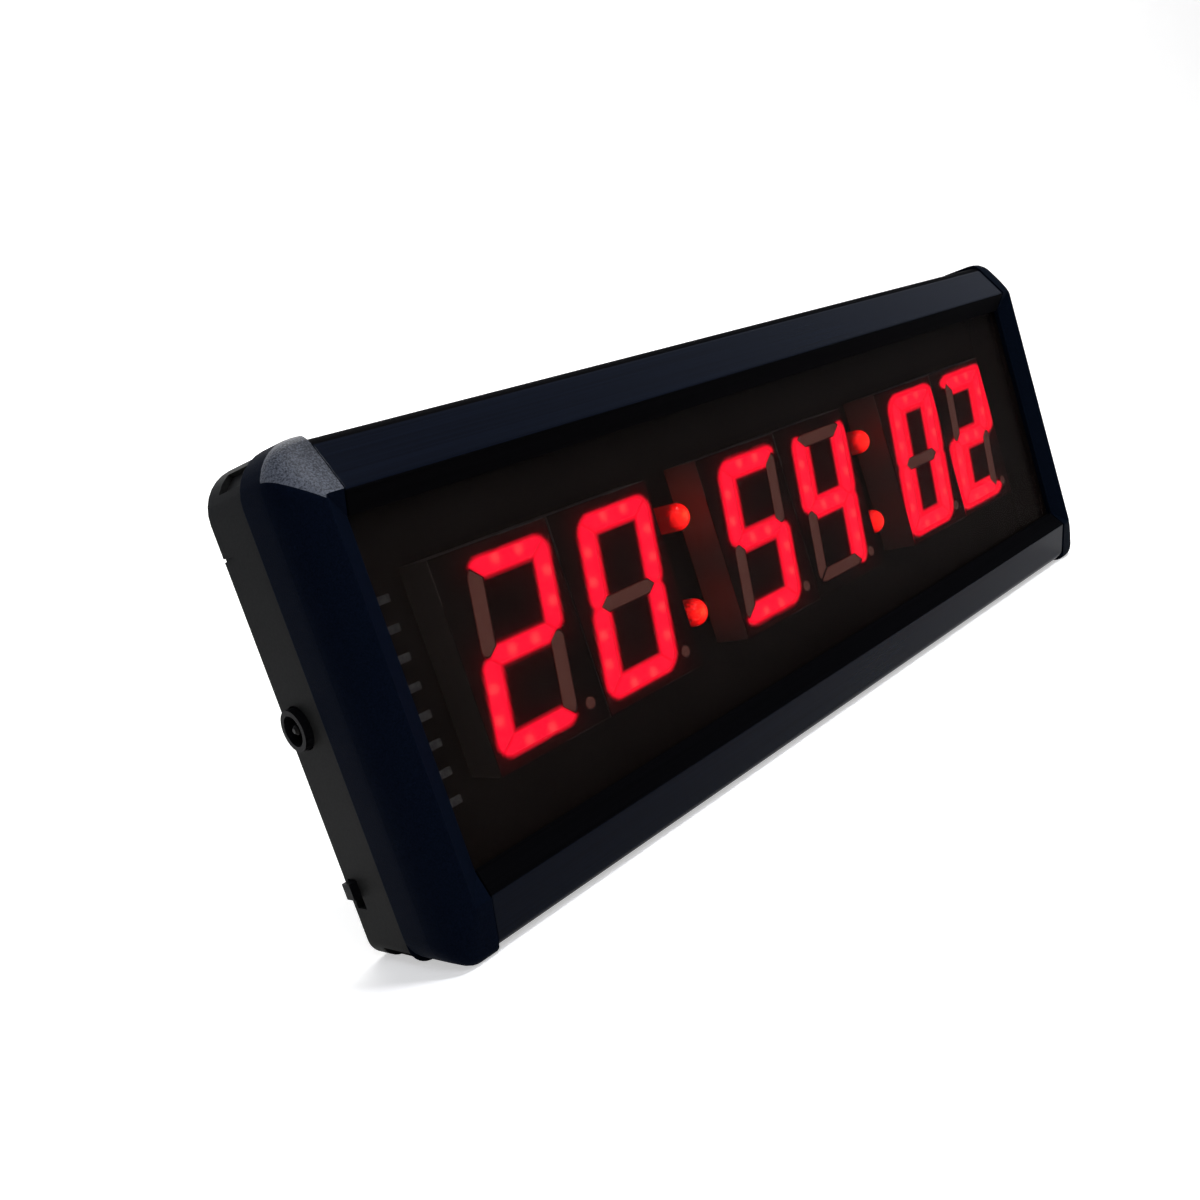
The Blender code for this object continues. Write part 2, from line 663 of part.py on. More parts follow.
def make_front_parts(chip_surface, receiver_surface):
    """Resistors at the left and the remote control's receiver at the right."""
    for number in range(RESISTOR_COUNT):
        z = MIDDLE - RESISTOR_MIDDLE_DROP + ((RESISTOR_COUNT - 1) / 2 - number) * RESISTOR_PITCH
        x = digit_x(0) - MODULE_WIDTH / 2 - RESISTOR_GAP - RESISTOR_SIZE.x / 2
        centre = (x, BOARD_FRONT - FIT - RESISTOR_SIZE.y / 2, z)
        box_about(f"segment_resistor_{number + 1}", centre, RESISTOR_SIZE, chip_surface)
    x = digit_x(2 * PAIRS - 1) + MODULE_WIDTH / 2 + RECEIVER_GAP + RECEIVER_SIZE.x / 2
    z = MIDDLE - RECEIVER_DROP
    y = BOARD_FRONT - FIT - RECEIVER_SIZE.y / 2
    body = box_about("infrared_receiver", (x, y, z), RECEIVER_SIZE, receiver_surface)
    dome = [(0, -RECEIVER_LENS_R)]
    for step in range(5):
        turn = math.radians(90 * step / 4)
        dome.append((RECEIVER_LENS_R * math.cos(turn) * (step < 4), RECEIVER_LENS_R * math.sin(turn)))
    dome.insert(1, (RECEIVER_LENS_R, -RECEIVER_LENS_R))
    lens = turned("receiver_lens", dome, 16, (0, -1, 0))
    lens.location = (x, y - RECEIVER_SIZE.y / 2, z + RECEIVER_SIZE.z / 8)
    combine(body, lens, "UNION")


def behind_board(name, x, z, size, surface):
    centre = (x, BOARD_REAR + FIT + size[1] / 2, z)
    return box_about(name, centre, size, surface)


def make_rear_parts(surfaces):
    """Controller, drivers, crystal, sounder and power parts on the board's back."""
    behind_board("controller_chip", 0, MIDDLE, CHIP_SIZE, surfaces["chip"])
    for side, word in ((-1, "left"), (1, "right")):
        x = side * DRIVER_SPREAD / 2
        behind_board(f"digit_driver_{word}", x, MIDDLE, CHIP_SIZE, surfaces["chip"])
    crystal_x = (CHIP_SIZE.x + CRYSTAL_SIZE.x) / 2 + CRYSTAL_GAP
    behind_board("timing_crystal", crystal_x, MIDDLE, CRYSTAL_SIZE, surfaces["metal"])
    regulator_x = REGULATOR_FROM_END - BOARD_END
    behind_board("voltage_regulator", regulator_x, MIDDLE, REGULATOR_SIZE, surfaces["chip"])
    can = [(0, 0), (CAPACITOR_R, 0), (CAPACITOR_R, CAPACITOR_HEIGHT), (0, CAPACITOR_HEIGHT)]
    capacitor = turned("filter_capacitor", can, 24, (0, 1, 0), surfaces["metal"])
    capacitor.location = (CAPACITOR_FROM_END - BOARD_END, BOARD_REAR + FIT, MIDDLE)
    smooth(capacitor)
    port_depth = BUZZER_HEIGHT / 3
    cup = [
        (0, 0), (BUZZER_R, 0), (BUZZER_R, BUZZER_HEIGHT), (BUZZER_PORT_R, BUZZER_HEIGHT),
        (BUZZER_PORT_R, BUZZER_HEIGHT - port_depth), (0, BUZZER_HEIGHT - port_depth),
    ]
    buzzer = turned("buzzer", cup, 32, (0, 1, 0), surfaces["plastic"])
    buzzer.location = (BOARD_END - BUZZER_FROM_END, BOARD_REAR + FIT, MIDDLE)
    smooth(buzzer)


def make_jack(surface, metal):
    """Barrel inlet: a body on the board's back, a round nose in the cap, a centre pin."""
    y = REAR - JACK_FROM_REAR
    z = MIDDLE - JACK_DROP
    front = -CAP_INSIDE + FIT
    low = (front, BOARD_REAR + FIT, z - JACK_BODY_WIDTH / 2)
    high = (front + JACK_BODY_LENGTH, BACK_INSIDE - FIT, z + JACK_BODY_WIDTH / 2)
    body = box("dc_jack", low, high, surface)
    nose_face = -BAND_SIDE - JACK_NOSE_PROUD
    nose = prism("jack_nose", "YZ", circle((y, z), JACK_NOSE_R, 28), nose_face, front + FIT)
    bore_floor = nose_face + JACK_BORE_DEPTH
    bore = prism("jack_bore", "YZ", circle((y, z), JACK_BORE_R, 28), nose_face - MM, bore_floor)
    combine(body, nose, "UNION")
    combine(body, bore, "DIFFERENCE")
    tip = JACK_PIN_R / 2
    profile = [
        (0, 0), (JACK_PIN_R, 0), (JACK_PIN_R, JACK_PIN_LENGTH - tip), (tip, JACK_PIN_LENGTH),
        (0, JACK_PIN_LENGTH),
    ]
    pin = turned("dc_jack_pin", profile, 16, (-1, 0, 0), metal)
    pin.location = (bore_floor - FIT, y, z)
    smooth(pin)


def make_switch(body_surface, knob_surface):
    """Slide switch behind the cap's slot; its knob rests at the upper, on end."""
    y = REAR - SWITCH_FROM_REAR
    z = MIDDLE - SWITCH_DROP
    front = -CAP_INSIDE + FIT
    body_x = front + CAP_WALL / 2 + FIT + SWITCH_BODY_LENGTH / 2
    body = (body_x, BACK_INSIDE - FIT - SWITCH_BODY_DEPTH / 2, z)
    size = (SWITCH_BODY_LENGTH, SWITCH_BODY_DEPTH, SWITCH_BODY_HEIGHT)
    box_about("power_switch_body", body, size, body_surface)
    knob_height = SLOT_HEIGHT - SWITCH_TRAVEL - 2 * FIT
    knob_z = z + SLOT_HEIGHT / 2 - FIT - knob_height / 2
    across = SLOT_DEPTH_WISE - 2 * FIT
    tip = -BAND_SIDE - KNOB_PROUD
    root = front + CAP_WALL / 2
    size = (root - tip, across, knob_height)
    box_about("power_switch_knob", ((root + tip) / 2, y, knob_z), size, knob_surface)


def build():
    clear_scene()
    anodised = material("anodised_aluminium", (0.012, 0.013, 0.016), 0.38, 0.6)
    cap_plastic = material("cap_plastic", (0.016, 0.017, 0.020), 0.55)
    smoked = material("smoked_acrylic", (0.010, 0.006, 0.006), 0.08)
    board = material("board_laminate", (0.010, 0.030, 0.014), 0.6)
    housing = material("module_housing", (0.014, 0.013, 0.013), 0.6)
    light = material("segment_epoxy", (0.75, 0.01, 0.03), 0.4, glow=2.0)
    lamp = material("lamp_epoxy", (0.8, 0.03, 0.01), 0.3, glow=2.0)
    chip = material("chip_package", (0.02, 0.02, 0.022), 0.55)
    metal = material("bright_metal", (0.6, 0.6, 0.58), 0.3, 1.0)
    resistor = material("resistor_ceramic", (0.25, 0.22, 0.22), 0.5)
    black_plastic = material("moulded_black_plastic", (0.01, 0.01, 0.01), 0.5)

    make_extrusion(anodised)
    window_bevel()
    pane_groove()
    make_left_cap(cap_plastic)
    make_cap("right_end_cap", 1, cap_plastic)
    make_pane(smoked)
    make_digits(housing, light)
    make_colons(lamp)
    make_board(board)
    make_front_parts(resistor, black_plastic)
    make_rear_parts({"chip": chip, "metal": metal, "plastic": black_plastic})
    make_jack(black_plastic, metal)
    make_switch(metal, black_plastic)


build()
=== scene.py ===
"""Looks of a six-digit LED countdown timer: lit display, extruded case, moulded caps."""

import math

import bmesh
import bpy
from mathutils import Matrix, Vector, geometry


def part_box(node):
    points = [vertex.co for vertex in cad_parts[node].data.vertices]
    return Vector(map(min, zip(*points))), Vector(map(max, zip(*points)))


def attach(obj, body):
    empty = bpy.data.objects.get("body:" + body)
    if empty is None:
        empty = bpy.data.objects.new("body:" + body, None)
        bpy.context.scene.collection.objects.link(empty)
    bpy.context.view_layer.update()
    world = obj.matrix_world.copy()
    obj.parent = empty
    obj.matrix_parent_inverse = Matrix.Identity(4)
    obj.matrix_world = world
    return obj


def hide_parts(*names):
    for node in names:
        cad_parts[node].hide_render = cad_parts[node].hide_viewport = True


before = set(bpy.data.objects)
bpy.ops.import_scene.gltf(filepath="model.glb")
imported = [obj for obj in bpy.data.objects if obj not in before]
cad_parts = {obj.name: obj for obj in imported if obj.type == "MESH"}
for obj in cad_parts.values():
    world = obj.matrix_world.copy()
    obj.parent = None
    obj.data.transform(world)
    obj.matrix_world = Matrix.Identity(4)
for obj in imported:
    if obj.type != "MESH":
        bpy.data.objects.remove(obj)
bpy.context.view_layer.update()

MM = 0.001
# Vertices closer than MERGE are one, and places within FLUSH along Y lie in one plane
MERGE = 0.001 * MM
FLUSH = 0.01 * MM

# Digits: the centre lines of the strokes lie as in the frame's modules, and the printed
# face covers the rims of their cavities
BAR_LINE = 17.0 * MM
UPRIGHT_LINE = 8.65 * MM
BAR_STROKE = 3.3 * MM
UPRIGHT_STROKE = 3.8 * MM
SLANT = math.radians(10)
SEGMENT_GAP = 0.35 * MM
SEGMENT_CORNER = 2.9 * MM
POINT_R = 1.4 * MM
POINT_OUT = 11.2 * MM
BAR_SET_BACK = 0.04 * MM
BAR_BREAK = 0.03 * MM
MODULE_DEPTH = 10.2 * MM
MODULE_BACK = 0.4 * MM
RIM_BREAK = 0.14 * MM
# An unlit bar looks narrower than a lit one, because its edges stay in shade
OPENING_FIT = 0.03 * MM
UNLIT_FIT = -0.2 * MM
# The two chips of a segment lie this far to each side of its middle, in millimetres, and
# light it up this far around them
CHIP_OUT = 3.1
CHIP_REACH = 1.9

# What the display shows, by the letters of the lit segments
SHOWN = ("ABGED", "ABCDEF", "AFGCD", "FGBC", "ABCDEF", "ABGED")
LETTERS = "AGDEFCBP"
UPRIGHTS = "BCEF"

# How much light the window lets through, and how hard the display is driven for it
PANE_OPACITY = 0.42
DRIVE = 1 / (1 - PANE_OPACITY) ** 2

# Red light on the printed faces: its strength beside a lit bar, how far it reaches and how
# steeply it falls, and a faint veil over the whole face; lengths in millimetres
GLOW = 1.05
GLOW_REACH = 1.3
GLOW_FALL = 2.4
VEIL = 0.02
VEIL_REACH = 2.2
# The glow looks wider in the farther digits of the photograph. Each digit adds this much to
# the core where it is at its full strength, and counts this much less of a distance along X
CORE_STEP = 0.25
SQUEEZE_STEP = 0.12
# The face is cut this finely to hold the glow
GLOW_PITCH = 0.7 * MM
# Digits with a side next to colon lamps, how strongly the lamps' light is painted on it as a red
# glow, and between which distances that fades
REDDENED = ((2, "left", 0.07), (4, "right", 0.02))
LAMP_NEAR = 4 * MM
LAMP_FAR = 17 * MM
# A lamp's flange stands this far out all round
LAMP_FLANGE = 0.4 * MM

# Case and caps, in millimetres: middle height, and where the caps' textured half ends
MIDDLE_Z = 49.5
STEP_Y = 1.4
# The left cap's corner with a painted highlight lies beyond a slanting plane, and the highlight is
# painted strongest along it
PAINTED_HIGHLIGHT_AWAY = Vector((0.707, 0, 0.707))
PAINTED_HIGHLIGHT_FROM = -28.3
PAINTED_HIGHLIGHT_FADE = 9.0
# Edges are broken where faces meet at more than EDGE_ANGLE degrees, and shaded as sharp
# above SHARP_ANGLE
RAIL_BREAK = 0.25 * MM
CAP_BREAK = 0.2 * MM
EDGE_ANGLE = 28
SHARP_ANGLE = 32

# The rails are dull where their normal rises above this
LOOKS_UP = 0.65

# The camera that was fitted to the photograph: its place, and its lens in picture pixels
CAMERA_PLACE = (-0.22197, -0.18206, 0.08044)
PICTURE_SIDE = 1200
PICTURE_CENTRE = (602.38, 617.32)
FOCAL_LENGTH = 1106.72

# Paper sweep, in metres from the timer along the camera's view
VIEW_WAY = Vector((0.657, 0.754, 0))
PAPER_FRONT = -0.6
PAPER_BACK = 1.2
PAPER_BEND = 0.5
PAPER_TOP = 2.0
PAPER_WIDTH = 4.8


def linear(code):
    """An sRGB hex colour as linear RGBA."""
    parts = [int(code[start:start + 2], 16) / 255 for start in (1, 3, 5)]
    return [p / 12.92 if p <= 0.04045 else ((p + 0.055) / 1.055) ** 2.4 for p in parts] + [1.0]


def add(tree, kind, links=None, stops=(), into=None, **settings):
    """Add a node: links are its inputs, as values or sockets, stops a ramp's positions and
    colours, into the socket that its first output feeds, and settings its own properties."""
    made = tree.nodes.new("ShaderNode" + kind)
    for name, value in settings.items():
        setattr(made, name, value)
    for name, value in (links or {}).items():
        if isinstance(value, bpy.types.NodeSocket):
            tree.links.new(value, made.inputs[name])
        else:
            made.inputs[name].default_value = value
    if stops:
        band = made.color_ramp.elements
        while len(band) < len(stops):
            band.new(0.5)
        for element, (position, code) in zip(band, stops):
            element.position = position
            element.color = linear(code)
    if into is not None:
        tree.links.new(made.outputs[0], into)
    return made


def start_material(name, **inputs):
    """A material with its Principled shader, whose named inputs are set."""
    made = bpy.data.materials.new(name)
    made.use_nodes = True
    shader = made.node_tree.nodes["Principled BSDF"]
    for key, value in inputs.items():
        shader.inputs[key.replace("_", " ")].default_value = value
    return made, made.node_tree, shader


def grained(name, size, detail, stops, **inputs):
    """A material whose base colour follows a noise of a given size, and that noise."""
    made, tree, shader = start_material(name, **inputs)
    place = add(tree, "TexCoord").outputs["Object"]
    noise = {"Vector": place, "Scale": 1 / size, "Detail": detail}
    grain = add(tree, "TexNoise", noise).outputs["Fac"]
    add(tree, "ValToRGB", {"Fac": grain}, stops, into=shader.inputs["Base Color"])
    return made, tree, shader, grain


def anodised_aluminium(kind, gloss, roughness, dark, light):
    """Black anodised extrusion, satin or dull, with faint draw lines along its length; the dull
    copy is darker and less glossy, which paints shade.
    """
    made, tree, shader = start_material(
        f"black_anodised_aluminium_{kind}", Specular_IOR_Level=gloss,
    )
    # Draw lines 60 mm long and 0.5 mm apart
    pitch = (1 / (60 * MM), 1 / (0.5 * MM), 1 / (0.5 * MM))
    place = add(tree, "TexCoord").outputs["Object"]
    place = add(tree, "Mapping", {"Vector": place, "Scale": pitch}).outputs[0]
    lines = add(tree, "TexNoise", {"Vector": place, "Scale": 1, "Detail": 2}).outputs["Fac"]
    stops = [(0.3, dark), (0.7, light)]
    add(tree, "ValToRGB", {"Fac": lines}, stops, into=shader.inputs["Base Color"])
    limits = {"To Min": roughness - 0.04, "To Max": roughness + 0.04}
    add(tree, "MapRange", {"Value": lines, **limits}, into=shader.inputs["Roughness"])
    height = {"Height": lines, "Strength": 0.05, "Distance": 0.1 * MM}
    add(tree, "Bump", height, into=shader.inputs["Normal"])
    return made


def textured_abs(state, gloss, roughness, pits, tips, relief):
    """Black ABS from a spark-eroded mould: pits that swallow light, and tips painted paler as a
    highlight near the left cap's top corner.
    """
    made, tree, shader = start_material(
        f"spark_textured_black_abs_{state}", Specular_IOR_Level=gloss,
    )
    # Grain of 0.345 mm, whose tips are painted paler as a highlight along the slanting plane
    place = add(tree, "TexCoord").outputs["Object"]
    noise = {"Vector": place, "Scale": 1 / (0.345 * MM), "Detail": 3, "Roughness": 0.6}
    grain = add(tree, "TexNoise", noise).outputs["Fac"]
    away = add(tree, "VectorMath", {0: place, 1: PAINTED_HIGHLIGHT_AWAY}, operation="DOT_PRODUCT")
    highlight_shift = add(tree, "MapRange", {
        "Value": away.outputs["Value"], "From Min": PAINTED_HIGHLIGHT_FROM * MM,
        "From Max": (PAINTED_HIGHLIGHT_FROM + PAINTED_HIGHLIGHT_FADE) * MM, "To Min": 0.08, "To Max": -0.1,
    })
    tip = add(tree, "Math", {0: grain, 1: highlight_shift.outputs[0]}, operation="ADD").outputs[0]
    stops = [(0.38, pits), (0.66, tips)]
    add(tree, "ValToRGB", {"Fac": tip}, stops, into=shader.inputs["Base Color"])
    limits = {"To Min": roughness - 0.1, "To Max": roughness + 0.1}
    add(tree, "MapRange", {"Value": grain, **limits}, into=shader.inputs["Roughness"])
    height = {"Height": grain, "Strength": relief, "Distance": 0.1 * MM}
    add(tree, "Bump", height, into=shader.inputs["Normal"])
    return made


def matt_abs():
    """The same ABS from the mould's blasted half: plain matt, and a paler grey than the front half,
    which paints the light that the rear half catches.
    """
    # Blasting of 0.5 mm
    return grained(
        "blasted_matt_black_abs", 0.5 * MM, 2, [(0.35, "#191918"), (0.7, "#1f1f1e")],
        Roughness=0.55, Specular_IOR_Level=0.03,
    )[0]


def smoked_acrylic():
    """Smoked acrylic sheet: clear but dark, polished, with a faint wiped haze."""
    # Haze in patches of 15 mm
    made, tree, shader, haze = grained(
        "smoked_acrylic_sheet", 15 * MM, 3, [(0.3, "#1a1411"), (0.7, "#1e1815")],
        IOR=1.49, Alpha=PANE_OPACITY, Specular_IOR_Level=0.006,
    )
    limits = {"To Min": 0.01, "To Max": 0.06}
    add(tree, "MapRange", {"Value": haze, **limits}, into=shader.inputs["Roughness"])
    return made


def moulded_housing_side(name, lamps=(), strength=0.0):
    """Grey polystyrene of a digit's sides, bare of print; a painted red glow stands for the light
    of lamps beside it.
    """
    # Flow marks of 1.25 mm
    made, tree, shader, _ = grained(
        f"moulded_grey_polystyrene_{name}", 1.25 * MM, 2, [(0.3, "#6e625c"), (0.7, "#7c6e68")],
        Roughness=0.5, Emission_Color=linear("#c83420"), Emission_Strength=0.0,
    )
    place = add(tree, "TexCoord").outputs["Object"]
    glow = 0.0
    for lamp in lamps:
        low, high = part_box(lamp)
        middle = (Vector(low) + Vector(high)) / 2
        away = add(tree, "VectorMath", {0: place, 1: middle}, operation="DISTANCE")
        near = add(tree, "MapRange", {
            "Value": away.outputs["Value"], "From Min": LAMP_NEAR, "From Max": LAMP_FAR,
            "To Min": strength * DRIVE, "To Max": 0.0,
        }, interpolation_type="SMOOTHSTEP")
        glow = add(
            tree, "Math", {0: near.outputs[0], 1: glow}, operation="ADD",
            into=shader.inputs["Emission Strength"],
        ).outputs[0]
    return made


def printed_polystyrene():
    """Black print on a digit's face: matt, with a painted red glow where the bars' light spills
    onto it.
    """
    # Print grain of 0.4 mm
    made, tree, shader, _ = grained(
        "matt_printed_polystyrene", 0.4 * MM, 2, [(0.3, "#0d0806"), (0.7, "#150d0a")],
        Roughness=0.6, Specular_IOR_Level=0.1, Emission_Color=linear("#ff0a2a"),
    )
    spill = add(tree, "Attribute", attribute_name="spill").outputs["Fac"]
    add(
        tree, "Math", {0: spill, 1: DRIVE}, operation="MULTIPLY",
        into=shader.inputs["Emission Strength"],
    )
    return made


def lit_epoxy():
    """Diffusing epoxy with the light on: even red, paler over the two chips of a segment."""
    made, tree, shader = start_material(
        "lit_diffusing_epoxy", Roughness=0.4, Base_Color=linear("#8a2a30"),
        Emission_Strength=1.05 * DRIVE,
    )
    along = add(tree, "SeparateXYZ", {"Vector": add(tree, "UVMap").outputs["UV"]})
    # Distance from the nearer chip, in millimetres along and across the segment
    side = add(tree, "Math", {0: along.outputs["X"]}, operation="ABSOLUTE").outputs[0]
    off = add(tree, "Math", {0: side, 1: CHIP_OUT}, operation="SUBTRACT").outputs[0]
    both = add(tree, "CombineXYZ", {"X": off, "Y": along.outputs["Y"]}).outputs[0]
    away = add(tree, "VectorMath", {0: both}, operation="LENGTH").outputs["Value"]
    limits = {"From Max": CHIP_REACH, "To Min": 1.0, "To Max": 0.0}
    near = add(tree, "MapRange", {"Value": away, **limits}, interpolation_type="SMOOTHSTEP")
    stops = [(0.0, "#ff002c"), (1.0, "#ff3a40")]
    add(tree, "ValToRGB", {"Fac": near.outputs[0]}, stops, into=shader.inputs["Emission Color"])
    return made


def unlit_epoxy():
    """Diffusing epoxy with the light off: milky grey-pink, with a faint painted red glow standing
    in for its lit neighbours' light.
    """
    # Cloudiness of 1.43 mm
    return grained(
        "unlit_diffusing_epoxy", 1.43 * MM, 2, [(0.3, "#9c7c6c"), (0.7, "#ac8a78")],
        # The faint red emission is painted light from the lit segments nearby
        Roughness=0.5, Emission_Color=linear("#c02c20"), Emission_Strength=0.06 * DRIVE,
    )[0]


def lit_lamp_lens(side, tip):
    """Red epoxy lens of a lit 5 mm lamp: brightest over its chip, deep and grainy at the rim."""
    made, tree, shader = start_material(
        f"lit_red_epoxy_lens_{side}", Roughness=0.2, Base_Color=linear("#a01810"),
        Emission_Strength=1.1 * DRIVE,
    )
    reach = add(tree, "Attribute", attribute_name="reach").outputs["Fac"]
    place = add(tree, "TexCoord").outputs["Object"]
    # Grain of 0.5 mm, which shifts the colours by up to 0.35 of the way to the rim
    noise = {"Vector": place, "Scale": 1 / (0.5 * MM), "Detail": 2}
    grain = add(tree, "TexNoise", noise).outputs["Fac"]
    shift = add(tree, "Math", {0: grain, 1: 0.7, 2: -0.35}, operation="MULTIPLY_ADD").outputs[0]
    spread = add(tree, "Math", {0: reach, 1: shift}, operation="ADD").outputs[0]
    stops = [(0.0, tip), (0.22, "#ff2016"), (0.5, "#f40c0e"), (0.8, "#4a0202")]
    add(tree, "ValToRGB", {"Fac": spread}, stops, into=shader.inputs["Emission Color"])
    return made


def solder_mask_board():
    """Glass-epoxy board under matt black solder mask: the glass weave just shows through."""
    # Weave cloudiness of 3 mm
    return grained(
        "masked_glass_epoxy_board", 3 * MM, 2, [(0.3, "#0e0a08"), (0.7, "#130e0b")],
        Roughness=0.6, Specular_IOR_Level=0.2,
    )[0]


def ceramic_chip():
    """Thick-film resistor: dark glaze on pale ceramic, so a mottled mid grey."""
    # Glaze mottle of 0.8 mm
    return grained(
        "glazed_alumina_chip", 0.8 * MM, 1, [(0.35, "#7c7a7a"), (0.65, "#9a9896")],
        Roughness=0.4,
    )[0]


def moulded_epoxy_package():
    """Transfer-moulded epoxy package: matt black with a fine pitted skin."""
    # Pits of 0.25 mm
    made, tree, shader, pits = grained(
        "transfer_moulded_epoxy", 0.25 * MM, 2, [(0.35, "#141414"), (0.7, "#202020")],
        Roughness=0.6,
    )
    height = {"Height": pits, "Strength": 0.3, "Distance": 0.03 * MM}
    add(tree, "Bump", height, into=shader.inputs["Normal"])
    return made


def moulded_pbt():
    """Glass-filled PBT of connectors and knobs: black, slightly glossy, smooth."""
    # Flow marks of 0.625 mm
    made, tree, shader, flow = grained(
        "moulded_black_pbt", 0.625 * MM, 2, [(0.3, "#08080a"), (0.7, "#0f0f11")],
        Roughness=0.35, Specular_IOR_Level=0.03,
    )
    limits = {"To Min": 0.28, "To Max": 0.42}
    add(tree, "MapRange", {"Value": flow, **limits}, into=shader.inputs["Roughness"])
    return made


def nickel_plate(state, dark, light):
    """Dull nickel plate, faintly brushed: grey on the board's parts, and darkened on the pin to
    paint the shade in the inlet's hole.
    """
    # Scratches 0.2 mm apart
    made, tree, shader, scratches = grained(
        f"{state}_nickel_plate", 0.2 * MM, 2, [(0.3, dark), (0.7, light)],
        Metallic=1.0, Roughness=0.45,
    )
    limits = {"To Min": 0.38, "To Max": 0.52}
    add(tree, "MapRange", {"Value": scratches, **limits}, into=shader.inputs["Roughness"])
    return made


def link_object(name, data):
    """A new object in the scene, at the origin."""
    item = bpy.data.objects.new(name, data)
    bpy.context.scene.collection.objects.link(item)
    return item


def finish_piece(shape, name, surfaces, body, replaced=()):
    """Turn a bmesh into a piece that rides a body and may stand for CAD nodes."""
    mesh = bpy.data.meshes.new(name)
    shape.to_mesh(mesh)
    shape.free()
    for surface in surfaces:
        mesh.materials.append(surface)
    item = link_object(name, mesh)
    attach(item, body)
    if replaced:
        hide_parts(*replaced)
    return item


def smooth(item, degrees):
    """Shade a piece smooth, except where its faces meet at more than an angle."""
    item.data.shade_smooth()
    item.data.set_sharp_from_angle(angle=math.radians(degrees))


def shift(shape, grown, vec):
    """Move what an extrusion made."""
    moved = [item for item in grown if isinstance(item, bmesh.types.BMVert)]
    bmesh.ops.translate(shape, verts=moved, vec=vec)


def draw_back(shape, faces, depth):
    """Give faces in a front plane a depth along Y."""
    grown = bmesh.ops.extrude_face_region(shape, geom=faces)["geom"]
    shift(shape, grown, (0, depth, 0))


def softened(node, name, width, surfaces, finish_of):
    """A CAD node's form with its edges broken by a small bevel; finish_of picks each face's."""
    shape = bmesh.new()
    shape.from_mesh(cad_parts[node].data)
    bmesh.ops.remove_doubles(shape, verts=shape.verts, dist=2 * MERGE)
    bmesh.ops.dissolve_limit(
        shape, angle_limit=math.radians(0.6), verts=shape.verts, edges=shape.edges,
    )
    sharp = [
        edge for edge in shape.edges
        if len(edge.link_faces) == 2 and edge.calc_face_angle() > math.radians(EDGE_ANGLE)
    ]
    bmesh.ops.bevel(
        shape, geom=sharp, offset=width, affect="EDGES", segments=2, profile=0.5, material=-1,
        clamp_overlap=True,
    )
    # Cut along the plane where the painted highlight begins
    bmesh.ops.bisect_plane(
        shape, geom=[*shape.verts, *shape.edges, *shape.faces], dist=MERGE,
        plane_co=PAINTED_HIGHLIGHT_AWAY * PAINTED_HIGHLIGHT_FROM * MM, plane_no=PAINTED_HIGHLIGHT_AWAY,
    )
    for face in shape.faces:
        face.material_index = finish_of(face.calc_center_median() / MM, face.normal)
    item = finish_piece(shape, name, surfaces, "case", [node])
    smooth(item, SHARP_ANGLE)
    flat = item.modifiers.new("flat_faces_stay_flat", "WEIGHTED_NORMAL")
    flat.keep_sharp = True
    flat.weight = 100
    return item


def rail_finish(place, normal):
    """Satin outside; the darker dull copy paints shade on the top and crest and on the bevels that
    face the window.
    """
    faces_window = place.y < 0 and (place.z - MIDDLE_Z) * normal.z < 0
    return int(normal.z > LOOKS_UP or faces_window)


def cap_finish(place, normal):
    """Blasted rear half, a painted highlight on the left one's front corner, pitted texture
    elsewhere.
    """
    if place.y > STEP_Y:
        return 2
    in_painted_highlight = place.x < 0 and place.dot(PAINTED_HIGHLIGHT_AWAY) > PAINTED_HIGHLIGHT_FROM
    # Only what looks forwards and up gets the painted highlight, and not what looks along the case
    return int(in_painted_highlight and normal.y < -0.05 and normal.z > 0.05 and normal.x < 0.2)


def segment_outlines(grow):
    """Outlines of the segments A, G, D, E, F, C, B and the point, leaning with the digit."""
    wide = UPRIGHT_LINE + UPRIGHT_STROKE / 2 + grow
    tall = BAR_LINE + BAR_STROKE / 2 + grow
    inner_x = UPRIGHT_LINE - UPRIGHT_STROKE / 2 - grow
    inner_z = BAR_LINE - BAR_STROKE / 2 - grow
    half = BAR_STROKE / 2 + grow
    gap = SEGMENT_GAP - grow
    corner = SEGMENT_CORNER + grow
    turns = [math.radians(15 * step) for step in range(7)]
    arc = [(wide - corner * (1 - math.sin(t)), tall - corner * (1 - math.cos(t))) for t in turns]
    # A bar takes the first half of the corner's arc at each end, an upright the other half
    end = [(x - gap, z) for x, z in arc[:4]] + [(inner_x - gap, inner_z)]
    bar = [(-x, z) for x, z in reversed(end)] + end
    # The outer end of an upright is rounded at the waist
    foot = [(wide, gap + 1.3 * MM), (wide - 0.35 * MM, gap + 0.5 * MM), (wide - 1.1 * MM, gap)]
    upright = [(x, z - gap) for x, z in arc[3:]] + foot
    upright += [(UPRIGHT_LINE, gap), (inner_x, half + gap), (inner_x, inner_z - gap)]
    side = [(inner_x - gap, half), (UPRIGHT_LINE - gap, 0), (inner_x - gap, -half)]
    middle = side + [(-x, z) for x, z in reversed(side)]
    shapes = [bar, middle, [(x, -z) for x, z in bar]]
    for across in (-1, 1):
        for up in (-1, 1):
            shapes.append([(across * x, up * z) for x, z in upright])
    leaning = [[(x + z * math.tan(SLANT), z) for x, z in shape] for shape in shapes]
    radius = POINT_R + grow
    rounds = [2 * math.pi * step / 20 for step in range(20)]
    point = [
        (POINT_OUT + radius * math.cos(turn), radius * math.sin(turn) - BAR_LINE) for turn in rounds
    ]
    return dict(zip(LETTERS, leaning + [point]))


def in_front(outline, origin):
    """An outline's points in the front plane of a digit with a given middle."""
    return [origin + Vector((x, 0, z)) for x, z in outline]


def digit_origin(number):
    """Middle of a module's front face."""
    low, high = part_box(f"digit_module_{number + 1}")
    return Vector(((low[0] + high[0]) / 2, low[1], (low[2] + high[2]) / 2))


